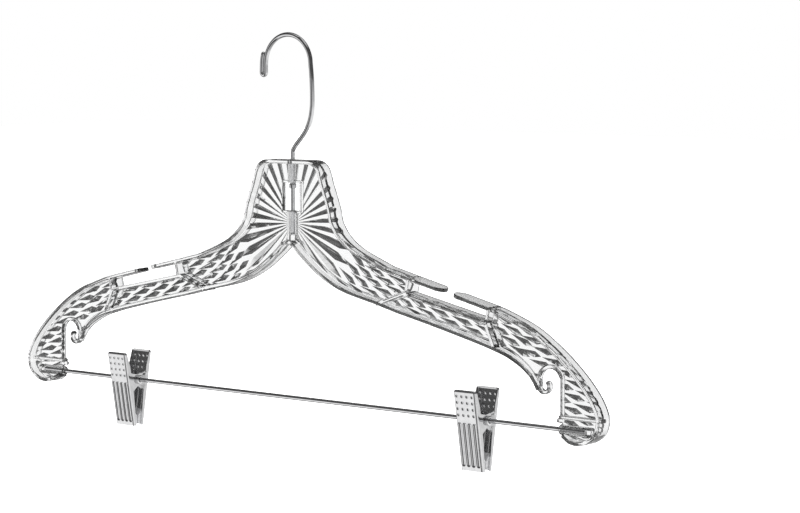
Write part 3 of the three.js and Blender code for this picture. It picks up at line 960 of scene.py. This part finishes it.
# Tones of the surround, as (degrees, tone). A ray that has passed through the plastic sees the first two,
# by height above the horizon and by distance from the middle of the nearest bright gap.
BEHIND_BY_HEIGHT = [
    (-90, 0.85), (-62, 0.7), (-50, 0.03), (-25, 0.03), (-19, 1.0),
    (8, 1.0), (12, 0.03), (47, 0.03), (59, 0.7), (90, 0.9),
]
BEHIND_BY_STRIP = [(0, 1.0), (14, 1.0), (17, 0.12), (22.5, 0.08)]
# A mirrored ray sees the next two, by height and by azimuth.
ROOM_BY_HEIGHT = [
    (-90, 0.4), (-52, 0.45), (-38, 1.0), (-13, 0.95), (-8, 0.7),
    (1, 0.5), (5, 0.08), (48, 0.06), (62, 0.6), (90, 0.8),
]
ROOM_BY_AZIMUTH = [
    (-180, 0.65), (-150, 0.6), (-135, 0.12), (-80, 0.12), (-68, 1.0), (-31, 1.0), (-25, 0.08),
    (12, 0.08), (20, 0.5), (60, 0.55), (70, 1.0), (150, 1.0), (160, 0.65), (180, 0.65),
]
WHITE = (1, 1, 1, 1)


class Sky:
    """The surround's nodes. Its height, azimuth and strip are sockets, in degrees."""

    def __init__(self, nodes, links):
        self.nodes = nodes
        self.links = links
        split = nodes.new("ShaderNodeSeparateXYZ")
        links.new(nodes.new("ShaderNodeTexCoord").outputs["Generated"], split.inputs["Vector"])
        self.height = self.maths("MULTIPLY", self.maths("ARCSINE", split.outputs["Z"]), 180 / math.pi)
        turn = self.maths("ARCTAN2", split.outputs["X"], self.maths("MULTIPLY", split.outputs["Y"], -1))
        self.azimuth = self.maths("MULTIPLY", turn, 180 / math.pi)
        degrees = self.maths("ADD", self.azimuth, 720 - VIEW_AZIMUTH)
        self.strip = self.maths("PINGPONG", degrees, 180 / STRIPS)

    def feed(self, socket, value):
        """Links a socket to another node's output, or sets it to a plain value."""
        if isinstance(value, (int, float, tuple)):
            socket.default_value = value
        else:
            self.links.new(value, socket)

    def maths(self, operation, *values):
        node = self.nodes.new("ShaderNodeMath")
        node.operation = operation
        for socket, value in zip(node.inputs, values):
            self.feed(socket, value)
        return node.outputs["Value"]

    def tones(self, value, stops):
        """Greys along a value, from (value, tone) pairs."""
        low = stops[0][0]
        high = stops[-1][0]
        scale = self.nodes.new("ShaderNodeMapRange")
        scale.inputs["From Min"].default_value = low
        scale.inputs["From Max"].default_value = high
        self.links.new(value, scale.inputs["Value"])
        node = self.nodes.new("ShaderNodeValToRGB")
        elements = node.color_ramp.elements
        for element, (_, tone) in ((elements[0], stops[0]), (elements[1], stops[-1])):
            element.color = (tone, tone, tone, 1)
        for place, tone in stops[1:-1]:
            elements.new((place - low) / (high - low)).color = (tone, tone, tone, 1)
        self.links.new(scale.outputs["Result"], node.inputs["Fac"])
        return node.outputs["Color"]

    def mixed(self, factor, a, b, blend="MIX"):
        node = self.nodes.new("ShaderNodeMix")
        node.data_type = "RGBA"
        node.blend_type = blend
        self.feed(node.inputs["Factor"], factor)
        self.feed(node.inputs["A"], a)
        self.feed(node.inputs["B"], b)
        return node.outputs["Result"]

    def darker(self, a, b):
        return self.mixed(1, a, b, "DARKEN")

    def ray(self, kind):
        return self.nodes.new("ShaderNodeLightPath").outputs[kind]


def surround():
    """A white room with dark flags, which only the clear plastic and the chrome see."""
    world = bpy.data.worlds.new("studio")
    world.use_nodes = True
    nodes = world.node_tree.nodes
    links = world.node_tree.links
    sky = Sky(nodes, links)
    behind = sky.darker(sky.tones(sky.height, BEHIND_BY_HEIGHT), sky.tones(sky.strip, BEHIND_BY_STRIP))
    room = sky.darker(sky.tones(sky.height, ROOM_BY_HEIGHT), sky.tones(sky.azimuth, ROOM_BY_AZIMUTH))
    seen = sky.mixed(sky.ray("Is Glossy Ray"), WHITE, room)
    seen = sky.mixed(sky.ray("Is Transmission Ray"), seen, behind)
    links.new(seen, nodes["Background"].inputs["Color"])
    bpy.context.scene.world = world
    bpy.context.scene.view_settings.view_transform = "Standard"


def pale_floor():
    """A plain floor below the hanger, left out of its reflections and refractions."""
    bm = bmesh.new()
    bmesh.ops.create_grid(bm, x_segments=1, y_segments=1, size=FLOOR_HALF)
    floor = to_object("floor", bm)
    floor.location.z = cad_low.z - FLOOR_DROP
    s = Shader("pale_floor")
    s.feed("Base Color", s.colours(s.noise(2), dark=(0.9, 0.9, 0.9), light=(0.93, 0.93, 0.93)))
    s.set(Roughness=0.9, Emission_Color=WHITE, Emission_Strength=1.0)
    floor.data.materials.append(s.material)
    floor.visible_transmission = False
    floor.visible_glossy = False


def camera():
    """A camera at the photograph's viewing angle."""
    azimuth = math.radians(VIEW_AZIMUTH)
    elevation = math.radians(VIEW_ELEVATION)
    back = Vector((
        math.sin(azimuth) * math.cos(elevation),
        -math.cos(azimuth) * math.cos(elevation),
        math.sin(elevation),
    ))
    data = bpy.data.cameras.new("camera")
    data.lens = LENS
    data.sensor_width = SENSOR_WIDTH
    obj = bpy.data.objects.new("camera", data)
    obj.location = VIEW_TARGET + back * VIEW_DISTANCE
    obj.rotation_mode = "QUATERNION"
    obj.rotation_quaternion = (-back).to_track_quat("-Z", "Y")
    bpy.context.scene.collection.objects.link(obj)
    bpy.context.scene.camera = obj


surround()
pale_floor()
camera()
